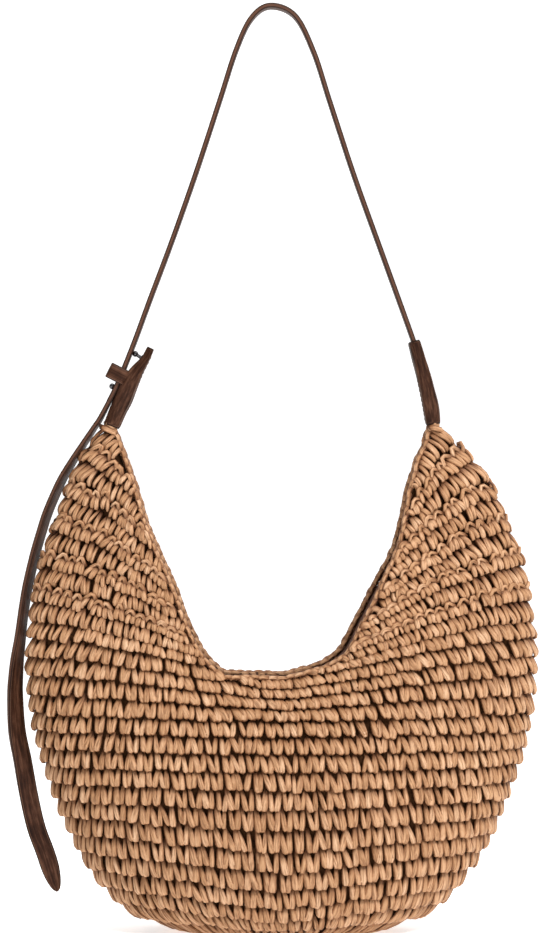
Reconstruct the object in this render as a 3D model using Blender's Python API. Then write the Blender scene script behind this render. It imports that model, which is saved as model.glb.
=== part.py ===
"""A slouchy crescent hobo bag in crocheted paper straw, hung by its adjustable leather strap.

Metres, +Z up.  The front faces -Y and the origin is the centre of the flat base.  The straw body is a
pouch with two horns; a leather tab joins each horn to the strap.  The right tab is sewn round the strap's
end.  The left tab carries two ball studs: the lower one is buttoned through the strap, the upper one is
free, a keeper loop slides on the strap, and the strap's spare end hangs down beside the bag.
"""

from math import cos, pi, radians, sin

import bmesh
import bpy
import numpy as np
from mathutils import Matrix, Vector

# ---- straw body ------------------------------------------------------------------------------------
# Half-width of the front outline by height, and half-depth at the middle of each level.
OUTLINE = [
    (0.000, 0.060), (0.005, 0.090), (0.022, 0.127), (0.065, 0.162), (0.115, 0.184), (0.168, 0.199),
    (0.215, 0.204), (0.277, 0.197), (0.328, 0.181), (0.366, 0.166), (0.392, 0.148), (0.404, 0.139),
]
DEPTH = [
    (0.000, 0.034), (0.005, 0.043), (0.025, 0.054), (0.070, 0.061), (0.120, 0.062), (0.165, 0.056),
    (0.205, 0.046), (0.250, 0.039), (0.300, 0.032), (0.350, 0.024), (0.385, 0.015), (0.404, 0.010),
]
# The mouth's edge: how far out it is, as a share of the half-width there, against its height.
MOUTH_LEFT = [
    (0.00, 0.205), (0.20, 0.206), (0.26, 0.215), (0.33, 0.235), (0.44, 0.282), (0.59, 0.329),
    (0.71, 0.367), (0.80, 0.387), (0.90, 0.401), (1.00, 0.404),
]
MOUTH_RIGHT = [
    (0.00, 0.205), (0.13, 0.214), (0.22, 0.224), (0.31, 0.257), (0.44, 0.297), (0.53, 0.331),
    (0.65, 0.373), (0.73, 0.388), (0.86, 0.401), (1.00, 0.404),
]
PINCH = 0.42  # how far the two rims draw together at the middle of the mouth
PINCH_REACH = (0.085, 0.205, 0.050)  # half-width of the drawn part, its height, its half-height
STRAW_WALL = 0.005
AROUND = 72
UP = 15
CROWDING = 1.25  # how much closer together the levels are towards the base

# ---- what is worked or sewn onto the body ----------------------------------------------------------
GAP = 0.0003
EDGING_RADIUS = 0.0026
EDGING_CLEAR = 0.0022  # between each cord and the wall's rim, which is cut straighter than the cord
EDGING_END = 0.80  # the share of the half-width at which the rims' cords end, in the horns
LINING_OUTSIDE = 0.0085
LINING_WALL = 0.0012
LINING_TOP = 0.345
LINING_DROP = 0.011  # from the mouth's edge to the lining's
POCKET_EASE = 0.0018  # the pocket hangs a little clear of the lining
POCKET_SPAN = (radians(66), radians(114))
POCKET_HEIGHTS = (0.055, 0.150)
SNAP_HEIGHT = 0.174
WASHER_INSET = 0.0062
SNAP_RADIUS = 0.007
WASHER_RADIUS = 0.0042

# ---- leather ---------------------------------------------------------------------------------------
STRAP_WIDTH = 0.015
STRAP_THICKNESS = 0.0028
# The strap's middle line in the XZ plane, from inside the right tab, over the top, to the lower stud.
STRAP_ROUTE = [
    (0.1096, 0.4620), (0.1061, 0.4730), (0.0950, 0.5040), (0.0780, 0.5510), (0.0590, 0.6040),
    (0.0400, 0.6620), (0.0270, 0.7020), (0.0120, 0.7310), (-0.0080, 0.7390), (-0.0230, 0.7290),
    (-0.0350, 0.7040), (-0.0480, 0.6640), (-0.0670, 0.6060), (-0.0860, 0.5520), (-0.1040, 0.5040),
    (-0.1150, 0.4740), (-0.1246, 0.4495), (-0.1311, 0.4339), (-0.1366, 0.4228),
]
TAIL_ROUTE = [
    (-0.1376, 0.4208), (-0.1440, 0.4085), (-0.1476, 0.4030), (-0.1564, 0.3896), (-0.1656, 0.3752),
    (-0.1740, 0.3608), (-0.1806, 0.3464), (-0.1865, 0.3320), (-0.1910, 0.3176), (-0.1952, 0.3032),
    (-0.1988, 0.2888), (-0.2020, 0.2744), (-0.2044, 0.2600), (-0.2064, 0.2456), (-0.2082, 0.2312),
    (-0.2102, 0.2168), (-0.2114, 0.2024), (-0.2119, 0.1880), (-0.2105, 0.1600), (-0.2060, 0.1360),
    (-0.2010, 0.1080), (-0.1950, 0.0820), (-0.1870, 0.0600), (-0.1780, 0.0310),
]
# How far the tail is turned about its own length, in radians, at shares of its length.
TAIL_TURN = [
    (0.00, 0.00), (0.10, 0.14), (0.22, 0.30), (0.46, 0.33), (0.57, 0.64), (0.70, 1.02), (0.84, 1.40), (1.00, 1.52),
]
TAIL_POINT = 0.022  # length of its tapered end
TAIL_TIP = 0.28  # the share of the width left at its very end
TAIL_THINNING = 0.9  # of the strap's thickness
TAIL_HINGE = (-0.1374, 0.4211)
HINGE_HEIGHT = 0.400  # where the horns' tips flex under the tabs
EDGE_SOFTNESS = 0.28  # of the strap's thickness
HOLE_RADIUS = 0.0020
SPARE_HOLES = (0.028, 0.056)  # along the strap, above the buttoned hole

# Each tab's stations from the top: middle (x, z), half-width across, half-depth along Y.
LEFT_TAB = [
    (-0.1033, 0.4655, 0.0026, 0.0080), (-0.1075, 0.4570, 0.0028, 0.0080),
    (-0.1150, 0.4460, 0.0046, 0.0080), (-0.1207, 0.4350, 0.0058, 0.0078),
    (-0.1255, 0.4245, 0.0064, 0.0066), (-0.1297, 0.4157, 0.0064, 0.0050), (-0.1328, 0.4085, 0.0060, 0.0038),
]
RIGHT_TAB = [
    (0.1069, 0.4710, 0.0042, 0.0098), (0.1098, 0.4610, 0.0046, 0.0098),
    (0.1139, 0.4472, 0.0051, 0.0090), (0.1172, 0.4340, 0.0056, 0.0076),
    (0.1199, 0.4220, 0.0058, 0.0060), (0.1213, 0.4140, 0.0056, 0.0046), (0.1222, 0.4070, 0.0050, 0.0036),
]
TAB_WALL = 0.0019
THREAD_RADIUS = 0.0004
THREAD_SQUARENESS = 0.3  # the power that draws its ring out towards the tab's corners
THREAD_SHARE = 0.85  # how far down each tab it is sewn
KEEPER_MIDDLE = (-0.1303, 0.4452)
KEEPER_TILT = radians(27)
KEEPER_SIZE = (0.0132, 0.0190, 0.0110)
KEEPER_WALL = 0.0010
KEEPER_CORNER = 0.0022

# ---- ball studs ------------------------------------------------------------------------------------
LOWER_STUD_HEIGHT = 0.4300  # on the left tab's middle line
UPPER_STUD_HEIGHT = 0.4560
FLANGE = (0.0024, 0.0004)
NECK = (0.0014, 0.0032)
BALL_RADIUS = 0.0024
SCREW_HEAD = (0.0020, 0.0007)
SHANK_RADIUS = 0.0010
BLIND_HOLE = (0.0011, 0.0030)

COLOURS = {  # base colour, roughness, metallic
    "straw": ((0.58, 0.37, 0.19), 0.75, 0.0),
    "leather": ((0.085, 0.038, 0.022), 0.50, 0.0),
    "lining": ((0.24, 0.13, 0.08), 0.85, 0.0),
    "gunmetal": ((0.10, 0.10, 0.11), 0.28, 1.0),
    "thread": ((0.11, 0.06, 0.035), 0.80, 0.0),
}

for old in list(bpy.data.objects):
    bpy.data.objects.remove(old)
parts = bpy.data.collections.new("hobo_bag")
bpy.context.scene.collection.children.link(parts)
cutters = bpy.data.collections.new("cutters")
bpy.context.scene.collection.children.link(cutters)


# ---- helpers ---------------------------------------------------------------------------------------
def material(name):
    found = bpy.data.materials.get(name)
    if found:
        return found
    colour, roughness, metallic = COLOURS[name]
    made = bpy.data.materials.new(name)
    made.use_nodes = True
    shader = made.node_tree.nodes["Principled BSDF"]
    shader.inputs["Base Color"].default_value = (*colour, 1.0)
    shader.inputs["Roughness"].default_value = roughness
    shader.inputs["Metallic"].default_value = metallic
    return made


def add(name, mesh, look, origin=(0.0, 0.0, 0.0)):
    """A named part from a mesh in world coordinates, with its own origin at the given point."""
    mesh.transform(Matrix.Translation(-Vector(origin)))
    mesh.shade_smooth()
    mesh.set_sharp_from_angle(angle=radians(35))
    mesh.materials.append(material(look))
    part = bpy.data.objects.new(name, mesh)
    part.location = origin
    parts.objects.link(part)
    return part


def mesh_of(work, name):
    bmesh.ops.recalc_face_normals(work, faces=work.faces)
    mesh = bpy.data.meshes.new(name)
    work.to_mesh(mesh)
    work.free()
    return mesh


def smooth(knots, at):
    """A monotone cubic through (x, y) knots, read at one or many x."""
    x, y = np.array(knots, float).T
    step = np.diff(x)
    rise = np.diff(y) / step
    slope = np.zeros_like(x)
    slope[0], slope[-1] = rise[0], rise[-1]
    for i in range(1, len(x) - 1):
        if rise[i - 1] * rise[i] > 0:
            slope[i] = 2 * rise[i - 1] * rise[i] / (rise[i - 1] + rise[i])
    at = np.clip(at, x[0], x[-1])
    i = np.clip(np.searchsorted(x, at, side="right") - 1, 0, len(step) - 1)
    t = (at - x[i]) / step[i]
    start = (1 + 2 * t) * (1 - t) ** 2 * y[i] + t * (1 - t) ** 2 * step[i] * slope[i]
    return start + t * t * (3 - 2 * t) * y[i + 1] + t * t * (t - 1) * step[i] * slope[i + 1]


def even(points, count):
    """Evenly spaced points on a Catmull-Rom curve through a route."""
    p = np.array(points, float)
    p = np.vstack([2 * p[0] - p[1], p, 2 * p[-1] - p[-2]])
    fine = []
    for a, b, c, d in zip(p, p[1:], p[2:], p[3:], strict=False):
        for t in np.linspace(0, 1, 24, endpoint=False):
            fine.append(0.5 * (2 * b + (c - a) * t + (2 * a - 5 * b + 4 * c - d) * t**2
                               + (3 * b - a - 3 * c + d) * t**3))
    fine = np.array(fine + [p[-2]])
    run = np.concatenate([[0], np.cumsum(np.linalg.norm(np.diff(fine, axis=0), axis=1))])
    at = np.linspace(0, run[-1], count)
    return np.column_stack([np.interp(at, run, fine[:, k]) for k in range(fine.shape[1])])


def loft(name, rings, close_ends=True):
    """A skin through rings of the same number of points, closed into a body."""
    work = bmesh.new()
    made = [[work.verts.new(p) for p in ring] for ring in rings]
    sides = len(made[0])
    for low, high in zip(made, made[1:], strict=False):
        for i in range(sides):
            j = (i + 1) % sides
            work.faces.new((low[i], low[j], high[j], high[i]))
    if close_ends:
        work.faces.new(made[0])
        work.faces.new(made[-1][::-1])
    return mesh_of(work, name)


def turned(name, profile, sides=16):
    """A solid of revolution about +Z from (radius, height) pairs that start and end on the axis."""
    work = bmesh.new()
    rings = []
    for radius, height in profile:
        if radius == 0:
            rings.append([work.verts.new((0, 0, height))])
        else:
            rings.append([work.verts.new((radius * cos(a), radius * sin(a), height))
                          for a in np.arange(sides) * 2 * pi / sides])
    for low, high in zip(rings, rings[1:], strict=False):
        for i in range(sides):
            j = (i + 1) % sides
            corners = [low[i % len(low)], low[j % len(low)], high[j % len(high)], high[i % len(high)]]
            work.faces.new(list(dict.fromkeys(corners)))
    return mesh_of(work, name)


def aimed(place, aim):
    """The matrix that stands +Z along a direction in the XZ plane, at a point of that plane."""
    direction = Vector((aim[0], 0, aim[1])).normalized()
    turn = Vector((0, 0, 1)).rotation_difference(direction)
    return Matrix.Translation((place[0], 0, place[1])) @ turn.to_matrix().to_4x4()


def cut(part, mesh, name):
    """Cuts a mesh out of a part with a Boolean, and keeps the cutter as a guide."""
    tool = bpy.data.objects.new(name, mesh)
    tool.hide_render = True
    tool.display_type = "WIRE"
    cutters.objects.link(tool)
    boolean = part.modifiers.new(name, "BOOLEAN")
    boolean.operation = "DIFFERENCE"
    boolean.object = tool


def cutter_cylinder(name, radius, length, frame):
    """A cylinder centred on the frame's origin along its Z."""
    work = bmesh.new()
    bmesh.ops.create_cone(work, cap_ends=True, segments=16, radius1=radius, radius2=radius, depth=length)
    bmesh.ops.transform(work, matrix=frame, verts=work.verts)
    return mesh_of(work, name)


# ---- the straw body's surface ----------------------------------------------------------------------
def mouth_height(share):
    """Height of the mouth's edge where the surface is this share of the half-width out; left is negative."""
    share = np.asarray(share, float)
    return np.where(share < 0, smooth(MOUTH_LEFT, -share), smooth(MOUTH_RIGHT, share))


def rim_height(back_off, inset=0.0):
    """The mouth's edge moved into the straw by a distance, for a wall inset from the outer face.

    It is a function of the share of that wall's half-width.
    """
    share = np.linspace(-1, 1, 401)
    z = mouth_height(share)
    x = smooth(OUTLINE, z) * share
    along = np.column_stack([np.gradient(x), np.gradient(z)])
    along /= np.linalg.norm(along, axis=1)[:, None]
    move = back_off * np.clip((0.94 - np.abs(share)) / 0.10, 0, 1)
    new_x = x + move * along[:, 1]
    new_z = z - move * along[:, 0]
    new_share = new_x / (smooth(OUTLINE, new_z) - inset)
    order = np.argsort(new_share)
    return lambda at: np.interp(at, new_share[order], new_z[order])


def wall_point(angle, z, top, inset=0.0):
    """A point of the wall at an angle round the bag, inset from its outer face, below its rim."""
    half = smooth(OUTLINE, z) - inset
    x = half * cos(angle)
    reach, height, spread = PINCH_REACH
    drawn = 1 - PINCH * np.exp(-((x / reach) ** 2) - ((z - height) / spread) ** 2)
    deep = smooth(DEPTH, z) * drawn - inset
    return (x, -deep * sin(angle), inset + z * (top - inset) / top)


def wall_rings(back_off, inset, around, up, cap):
    """Rings of a wall from the base to the rim."""
    angles = np.arange(around) * 2 * pi / around
    tops = np.minimum(rim_height(back_off, inset)(np.cos(angles)), cap)
    return [[wall_point(a, top * t**CROWDING, top, inset) for a, top in zip(angles, tops, strict=True)]
            for t in np.linspace(0, 1, up + 1)]


def pouch(name, look, back_off, inset, wall, around, up, cap=1.0):
    """An open pouch: an outer wall, a rim and an inner wall, each closed by a flat base."""
    outer = wall_rings(back_off, inset, around, up, cap)
    inner = wall_rings(back_off, inset + wall, around, up, cap)
    return add(name, loft(name, outer + inner[::-1]), look)


def straw_body():
    return pouch("straw_body", "straw", 2 * EDGING_RADIUS + EDGING_CLEAR, 0.0, STRAW_WALL, AROUND, UP)


def lining():
    return pouch("lining", "lining", LINING_DROP, LINING_OUTSIDE, LINING_WALL, 44, UP, LINING_TOP)


def rim_edging(name, facing):
    """The slip-stitch cord along one rim, from horn to horn; facing is 1 in front and -1 behind."""
    edge = rim_height(EDGING_RADIUS, STRAW_WALL / 2)
    points = []
    for share in np.linspace(-EDGING_END, EDGING_END, 90):
        z = float(edge(share))
        x, y, z = wall_point(np.arccos(share), z, z, STRAW_WALL / 2)
        points.append((x, y * facing, z))
    route = even(points, 46)
    curve = bpy.data.curves.new(name, "CURVE")
    curve.dimensions = "3D"
    curve.bevel_depth = EDGING_RADIUS
    curve.bevel_resolution = 1
    curve.use_fill_caps = True
    spline = curve.splines.new("POLY")
    spline.points.add(len(route) - 1)
    for point, place in zip(spline.points, route, strict=True):
        point.co = (*place, 1.0)
    curve.materials.append(material("straw"))
    part = bpy.data.objects.new(name, curve)
    parts.objects.link(part)
    return part


def slip_pocket():
    """A patch pocket sewn to the lining's back wall, just inside it."""
    rings = []
    for z in np.linspace(*POCKET_HEIGHTS, 6):
        inside = LINING_OUTSIDE + LINING_WALL + POCKET_EASE
        angles = -np.linspace(*POCKET_SPAN, 9)
        near = [wall_point(a, z, 0.2, inside) for a in angles]
        far = [wall_point(a, z, 0.2, inside + 0.001) for a in angles]
        rings.append(near + far[::-1])
    return add("slip_pocket", loft("slip_pocket", rings), "lining")


def wall_frame(facing, inset):
    """A frame on the middle of the front or back wall at the snap's height, +Z towards the inside."""
    angle = facing * pi / 2
    place, above, beside = (Vector(wall_point(angle + turn, z, 0.2, inset))
                            for turn, z in ((0, SNAP_HEIGHT), (0, SNAP_HEIGHT + 0.004), (0.02, SNAP_HEIGHT)))
    inward = (above - place).cross(beside - place).normalized()
    if inward.y * facing < 0:
        inward = -inward
    turn = Vector((0, 0, 1)).rotation_difference(inward)
    return Matrix.Translation(place) @ turn.to_matrix().to_4x4()


def snap_halves():
    """A magnetic snap: a cupped half in front, a half with a boss behind, and a washer behind each."""
    inside = LINING_OUTSIDE + LINING_WALL + 0.0009
    cup = [(0, 0), (SNAP_RADIUS, 0), (SNAP_RADIUS, 0.0024), (0.0026, 0.0024), (0.0026, 0.0010), (0, 0.0010)]
    boss = [(0, 0), (SNAP_RADIUS, 0), (SNAP_RADIUS, 0.0014), (0.0022, 0.0014), (0.0020, 0.0030), (0, 0.0030)]
    washer = [(0, 0), (WASHER_RADIUS, 0), (WASHER_RADIUS, 0.0007), (0, 0.0007)]
    halves = []
    for name, profile, facing, inset in (
        ("snap_socket", cup, 1, inside), ("snap_boss", boss, -1, inside),
        ("snap_socket_washer", washer, 1, WASHER_INSET), ("snap_boss_washer", washer, -1, WASHER_INSET),
    ):
        mesh = turned(name, profile)
        frame = wall_frame(facing, inset)
        mesh.transform(frame)
        halves.append(add(name, mesh, "gunmetal", frame.translation))
    return halves


# ---- leather pieces --------------------------------------------------------------------------------
def ribbon(name, route, turns, widths, thickness):
    """A flat strap with softened edges along a route in XZ; a turn of 0 lays its width along Y."""
    rings = []
    along = np.gradient(route, axis=0)
    along /= np.linalg.norm(along, axis=1)[:, None]
    for (x, z), (tx, tz), turn, width in zip(route, along, turns, widths, strict=True):
        normal = Vector((-tz, 0, tx))
        across = Vector((0, cos(turn), 0)) + normal * sin(turn)
        face = normal * cos(turn) - Vector((0, sin(turn), 0))
        middle = Vector((x, 0, z))
        half, flat, soft = float(width) / 2, thickness / 2, thickness * EDGE_SOFTNESS
        corners = [(half - soft, -flat), (half, -flat + soft), (half, flat - soft), (half - soft, flat)]
        corners += [(-a, -b) for a, b in corners]
        rings.append([middle + a * across + b * face for a, b in corners])
    return loft(name, rings)


def tab_face(height):
    """The point of the left tab's outer face beside its middle line at a height, and the way it faces."""
    route = even(LEFT_TAB, 200)
    i = int(np.argmin(np.abs(route[:, 1] - height)))
    along = route[i + 1, :2] - route[i - 1, :2]
    out = np.array([along[1], -along[0]]) / np.linalg.norm(along)
    return route[i, :2] + route[i, 2] * out, out


def shoulder_strap():
    route = even(STRAP_ROUTE, 58)
    count = len(route)
    mesh = ribbon("shoulder_strap", route, [0] * count, [STRAP_WIDTH] * count, STRAP_THICKNESS)
    strap = add("shoulder_strap", mesh, "leather")
    button, _ = tab_face(LOWER_STUD_HEIGHT)
    fine = even(STRAP_ROUTE, 900)
    start = int(np.argmin(np.hypot(*(fine - button).T)))
    pitch = np.linalg.norm(fine[1] - fine[0])
    for i, climb in enumerate((0.0, *SPARE_HOLES)):
        at = start - round(climb / pitch)
        along = fine[at + 3] - fine[at - 3]
        name = f"strap_hole_{i}"
        cut(strap, cutter_cylinder(name, HOLE_RADIUS, STRAP_WIDTH, aimed(fine[at], (along[1], -along[0]))), name)
    return strap


def strap_tail():
    route = even(TAIL_ROUTE, 48)
    share = np.linspace(0, 1, len(route))
    length = np.linalg.norm(np.diff(route, axis=0), axis=1).sum()
    turns = smooth(TAIL_TURN, share)
    left = np.clip((1 - share) * length / TAIL_POINT, 0, 1)
    widths = STRAP_WIDTH * (TAIL_TIP + (1 - TAIL_TIP) * np.sqrt(1 - (1 - left) ** 2))
    mesh = ribbon("strap_tail", route, turns, widths, STRAP_THICKNESS * TAIL_THINNING)
    return add("strap_tail", mesh, "leather", (TAIL_HINGE[0], 0, TAIL_HINGE[1]))


def tab_section(half, deep, wall):
    """The outline of a folded tab: closed in front, its two leaves open at the back."""
    round_off = min(half, deep) * 0.55
    bends = 4
    outer, inner = [], []
    for leaf in (1, -1):
        corner = [pi / 2 * k / bends for k in range(bends + 1)]
        arc = [(leaf * (half - round_off + round_off * sin(a)), -deep + round_off - round_off * cos(a))
               for a in corner]
        outer += arc if leaf == 1 else arc[::-1]
        tight = max(round_off - wall, 0.0002)
        arc = [(leaf * (half - wall - tight + tight * sin(a)), -deep + wall + tight - tight * cos(a))
               for a in corner]
        inner += arc if leaf == 1 else arc[::-1]
    turn = bends + 1
    outside = [(-half, deep)] + outer[turn:] + outer[:turn] + [(half, deep)]
    inside = [(half - wall, deep)] + inner[:turn][::-1] + inner[turn:][::-1] + [(-half + wall, deep)]
    return outside + inside


def folded_tab(name, stations):
    route = even(stations, 14)
    along = np.gradient(route[:, :2], axis=0)
    along /= np.linalg.norm(along, axis=1)[:, None]
    rings = []
    for (x, z, half, deep), (tx, tz) in zip(route, along, strict=True):
        across = Vector((-tz, 0, tx))
        middle = Vector((x, 0, z))
        wall = min(TAB_WALL, half - 0.0005)
        rings.append([middle + float(a) * across + Vector((0, b, 0))
                      for a, b in tab_section(half, deep, wall)])
    return add(name, loft(name, rings), "leather")


def tab_thread(name, stations):
    """The saddle stitch that closes a tab: one waxed thread round it."""
    route = even(stations, 60)
    i = int(THREAD_SHARE * 59)
    x, z, half, deep = route[i]
    along = route[i + 1][:2] - route[i - 1][:2]
    along /= np.linalg.norm(along)
    clear = THREAD_RADIUS + 3 * GAP
    work = bmesh.new()
    middle = Vector((x, 0, z))
    across = Vector((-along[1], 0, along[0]))
    loop = []
    for a in np.arange(20) * 2 * pi / 20:
        wide = float((half + clear) * np.sign(cos(a)) * abs(cos(a)) ** THREAD_SQUARENESS)
        long = float((deep + clear) * np.sign(sin(a)) * abs(sin(a)) ** THREAD_SQUARENESS)
        loop.append(middle + wide * across + Vector((0, long, 0)))
    up = Vector((along[0], 0, along[1]))
    rings = []
    for k, point in enumerate(loop):
        ahead = (loop[(k + 1) % 20] - loop[k - 1]).normalized()
        side = ahead.cross(up).normalized()
        rings.append([work.verts.new(point + THREAD_RADIUS * (cos(b) * side + sin(b) * up))
                      for b in np.arange(6) * 2 * pi / 6])
    for k in range(20):
        for m in range(6):
            n = (m + 1) % 6
            work.faces.new((rings[k - 1][m], rings[k - 1][n], rings[k][n], rings[k][m]))
    return add(name, mesh_of(work, name), "thread")


def keeper_loop():
    frame = Matrix.Translation((KEEPER_MIDDLE[0], 0, KEEPER_MIDDLE[1])) @ Matrix.Rotation(KEEPER_TILT, 4, "Y")
    work = bmesh.new()
    bmesh.ops.create_cube(work, size=1.0, matrix=Matrix.Diagonal((*KEEPER_SIZE, 1)))
    upright = [e for e in work.edges if abs(e.verts[0].co.z - e.verts[1].co.z) > KEEPER_SIZE[2] / 2]
    bmesh.ops.bevel(work, geom=upright, offset=KEEPER_CORNER, segments=3, profile=0.5, affect="EDGES")
    bmesh.ops.transform(work, matrix=frame, verts=work.verts)
    keeper = add("keeper_loop", mesh_of(work, "keeper_loop"), "leather", frame.translation)
    work = bmesh.new()
    room = [KEEPER_SIZE[0] - 2 * KEEPER_WALL, KEEPER_SIZE[1] - 2 * KEEPER_WALL, 2 * KEEPER_SIZE[2]]
    bmesh.ops.create_cube(work, size=1.0, matrix=Matrix.Diagonal((*room, 1)))
    bmesh.ops.transform(work, matrix=frame, verts=work.verts)
    cut(keeper, mesh_of(work, "keeper_slot"), "keeper_slot")
    return keeper


def ball_stud(name, place, aim, tab):
    """A ball stud outside a tab's leaf and the screw that holds it from inside."""
    flange_radius, flange = FLANGE
    neck_radius, neck = NECK
    base = 2 * GAP
    waist = base + flange + neck
    middle = waist + (BALL_RADIUS**2 - neck_radius**2) ** 0.5
    start = np.arccos((middle - waist) / BALL_RADIUS)
    ball = [(BALL_RADIUS * sin(pi - a), middle + BALL_RADIUS * cos(pi - a))
            for a in np.linspace(start, pi, 9)[:-1]]
    bore, bore_depth = BLIND_HOLE
    profile = [(0, base + bore_depth), (bore, base + bore_depth), (bore, base), (flange_radius, base),
               (flange_radius, base + flange), (neck_radius, base + flange), *ball,
               (0, middle + BALL_RADIUS)]
    frame = aimed(place, aim)
    stud = turned(name, profile)
    stud.transform(frame)
    add(name, stud, "gunmetal", frame.translation)
    head_radius, head = SCREW_HEAD
    under = -TAB_WALL - GAP
    profile = [(0, under - head), (head_radius, under - head), (head_radius, under),
               (SHANK_RADIUS, under), (SHANK_RADIUS, base + bore_depth - GAP), (0, base + bore_depth - GAP)]
    screw = turned(f"{name}_screw", profile, 12)
    screw.transform(frame)
    add(f"{name}_screw", screw, "gunmetal", frame.translation)
    hole = cutter_cylinder(f"{name}_hole", SHANK_RADIUS + GAP, 2.6 * TAB_WALL, frame)
    cut(tab, hole, f"{name}_hole")


bag = [straw_body(), rim_edging("front_rim_edging", 1), rim_edging("back_rim_edging", -1)]
bag += [lining(), slip_pocket(), *snap_halves()]
bag_swing = bpy.data.objects.new("bag_swing", None)
bag_swing.location = (0.0, 0.0, HINGE_HEIGHT)
parts.objects.link(bag_swing)
for piece in bag:
    piece.parent = bag_swing
    piece.location -= bag_swing.location
shoulder_strap()
strap_tail()
left_tab = folded_tab("left_tab", LEFT_TAB)
right_tab = folded_tab("right_tab", RIGHT_TAB)
tab_thread("left_tab_thread", LEFT_TAB)
tab_thread("right_tab_thread", RIGHT_TAB)
keeper_loop()
ball_stud("upper_stud", *tab_face(UPPER_STUD_HEIGHT), left_tab)
ball_stud("lower_stud", *tab_face(LOWER_STUD_HEIGHT), left_tab)
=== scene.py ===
"""The looks of the crocheted straw hobo bag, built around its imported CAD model.

Metres, in the CAD's frame: +Z up, the front faces -Y, the origin is the centre of the base.  The straw is
made stitch by stitch: every stitch is two legs of crinkled paper ribbon that lie on the body's surface,
row above row.  The leather is swept along the CAD's own routes.
"""

from math import cos, pi, radians, sin

import bmesh
import bpy
import numpy as np
from mathutils import Matrix, Vector


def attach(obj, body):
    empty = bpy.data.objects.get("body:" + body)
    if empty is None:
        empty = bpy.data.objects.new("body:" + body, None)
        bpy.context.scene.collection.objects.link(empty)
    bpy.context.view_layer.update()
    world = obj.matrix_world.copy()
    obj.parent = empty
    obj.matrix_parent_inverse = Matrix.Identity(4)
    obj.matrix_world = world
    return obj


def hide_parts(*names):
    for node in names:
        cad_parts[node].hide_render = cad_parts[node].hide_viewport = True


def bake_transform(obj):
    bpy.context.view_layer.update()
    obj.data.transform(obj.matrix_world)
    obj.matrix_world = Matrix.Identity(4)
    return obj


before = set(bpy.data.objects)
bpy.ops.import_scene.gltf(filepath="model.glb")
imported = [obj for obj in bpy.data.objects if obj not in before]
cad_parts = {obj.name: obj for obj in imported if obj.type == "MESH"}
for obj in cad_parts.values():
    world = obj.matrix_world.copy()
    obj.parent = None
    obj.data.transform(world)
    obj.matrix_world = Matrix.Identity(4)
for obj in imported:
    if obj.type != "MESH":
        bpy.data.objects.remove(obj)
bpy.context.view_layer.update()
rng = np.random.default_rng(11)

# ---- the body's surface: the CAD's, with its tips drawn out a little ------------------------------------
# Half-width and half-depth by height.
OUTLINE = [
    (0.000, 0.060), (0.005, 0.090), (0.022, 0.127), (0.065, 0.162), (0.115, 0.184), (0.168, 0.199),
    (0.215, 0.204), (0.277, 0.197), (0.328, 0.181), (0.366, 0.166), (0.392, 0.148), (0.404, 0.140),
    (0.412, 0.134),
]
# The right half-width near its horn's tip.
RIGHT_TIP = [
    (0.320, 0.1835), (0.344, 0.174), (0.366, 0.163), (0.376, 0.153), (0.386, 0.145), (0.396, 0.133),
    (0.404, 0.126), (0.412, 0.1225),
]
LEFT_SLIMMER = 0.0020  # how much less the left half-width is
SLIMMER_SPAN = (0.030, 0.385)  # between these heights
SLIMMER_FADE = 0.040
DEPTH = [
    (0.000, 0.034), (0.005, 0.043), (0.025, 0.054), (0.070, 0.061), (0.120, 0.062), (0.165, 0.056),
    (0.205, 0.046), (0.250, 0.039), (0.300, 0.032), (0.350, 0.024), (0.385, 0.014), (0.402, 0.0075),
    (0.412, 0.0046),
]
# The mouth's edge: how far out it is, as a share of the half-width there, against its height.
MOUTH_LEFT = [
    (0.00, 0.205), (0.20, 0.206), (0.26, 0.215), (0.33, 0.235), (0.44, 0.282), (0.59, 0.329),
    (0.71, 0.367), (0.83, 0.389), (0.91, 0.401), (1.00, 0.412),
]
MOUTH_RIGHT = [
    (0.00, 0.205), (0.13, 0.212), (0.22, 0.224), (0.29, 0.248), (0.395, 0.284), (0.475, 0.308),
    (0.535, 0.332), (0.595, 0.356), (0.66, 0.371), (0.78, 0.388), (0.90, 0.401), (1.00, 0.412),
]
PINCH = 0.42  # how far the two rims draw together at the middle of the mouth
PINCH_REACH = (0.085, 0.205, 0.050)  # half-width of the drawn part, its height, its half-height
USUAL_HALF_WIDTH = 0.20
LINE_DROP = 0.6  # how far down a line lies below the mouth's edge, against its inset
BASE_LEVEL = 0.0024  # height of the level surface that the base's stitches lie on
# How far out the front rim lies of the back one at the right, as a share of the half-width, along the mouth.
FRONT_RIM_SHIFT = [(0.10, 0.000), (0.22, 0.020), (0.36, 0.020), (0.48, 0.006), (1.0, 0.004)]

# ---- crochet -----------------------------------------------------------------------------------------
STITCH = 0.0104  # width of one stitch along its row
HORN_FINENESS = 0.88  # width of a stitch in the horns, against one in the body
# The lower edge of each row: its height at the bag's sides and at the middle of its front.
ROW_EDGES = [
    (0.0020, -0.0010), (0.0150, 0.0085), (0.0270, 0.0165), (0.0400, 0.0275), (0.0540, 0.0415),
    (0.0680, 0.0565), (0.0820, 0.0725), (0.0960, 0.0890), (0.1095, 0.1055), (0.1230, 0.1205),
    (0.1365, 0.1350), (0.1500, 0.1485), (0.1637, 0.1610), (0.1775, 0.1725), (0.1930, 0.1815),
    (0.2085, 0.1895), (0.2230, 0.1970), (0.2372, 0.2040),
]
FLAT_ROWS = 14  # rows worked to and fro in each horn, above the rows worked in the round
FLAT_PITCH = 0.0140
FLAT_SAG = 0.84  # how much lower each row's inner end lies than the row below's, against their pitch

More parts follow.
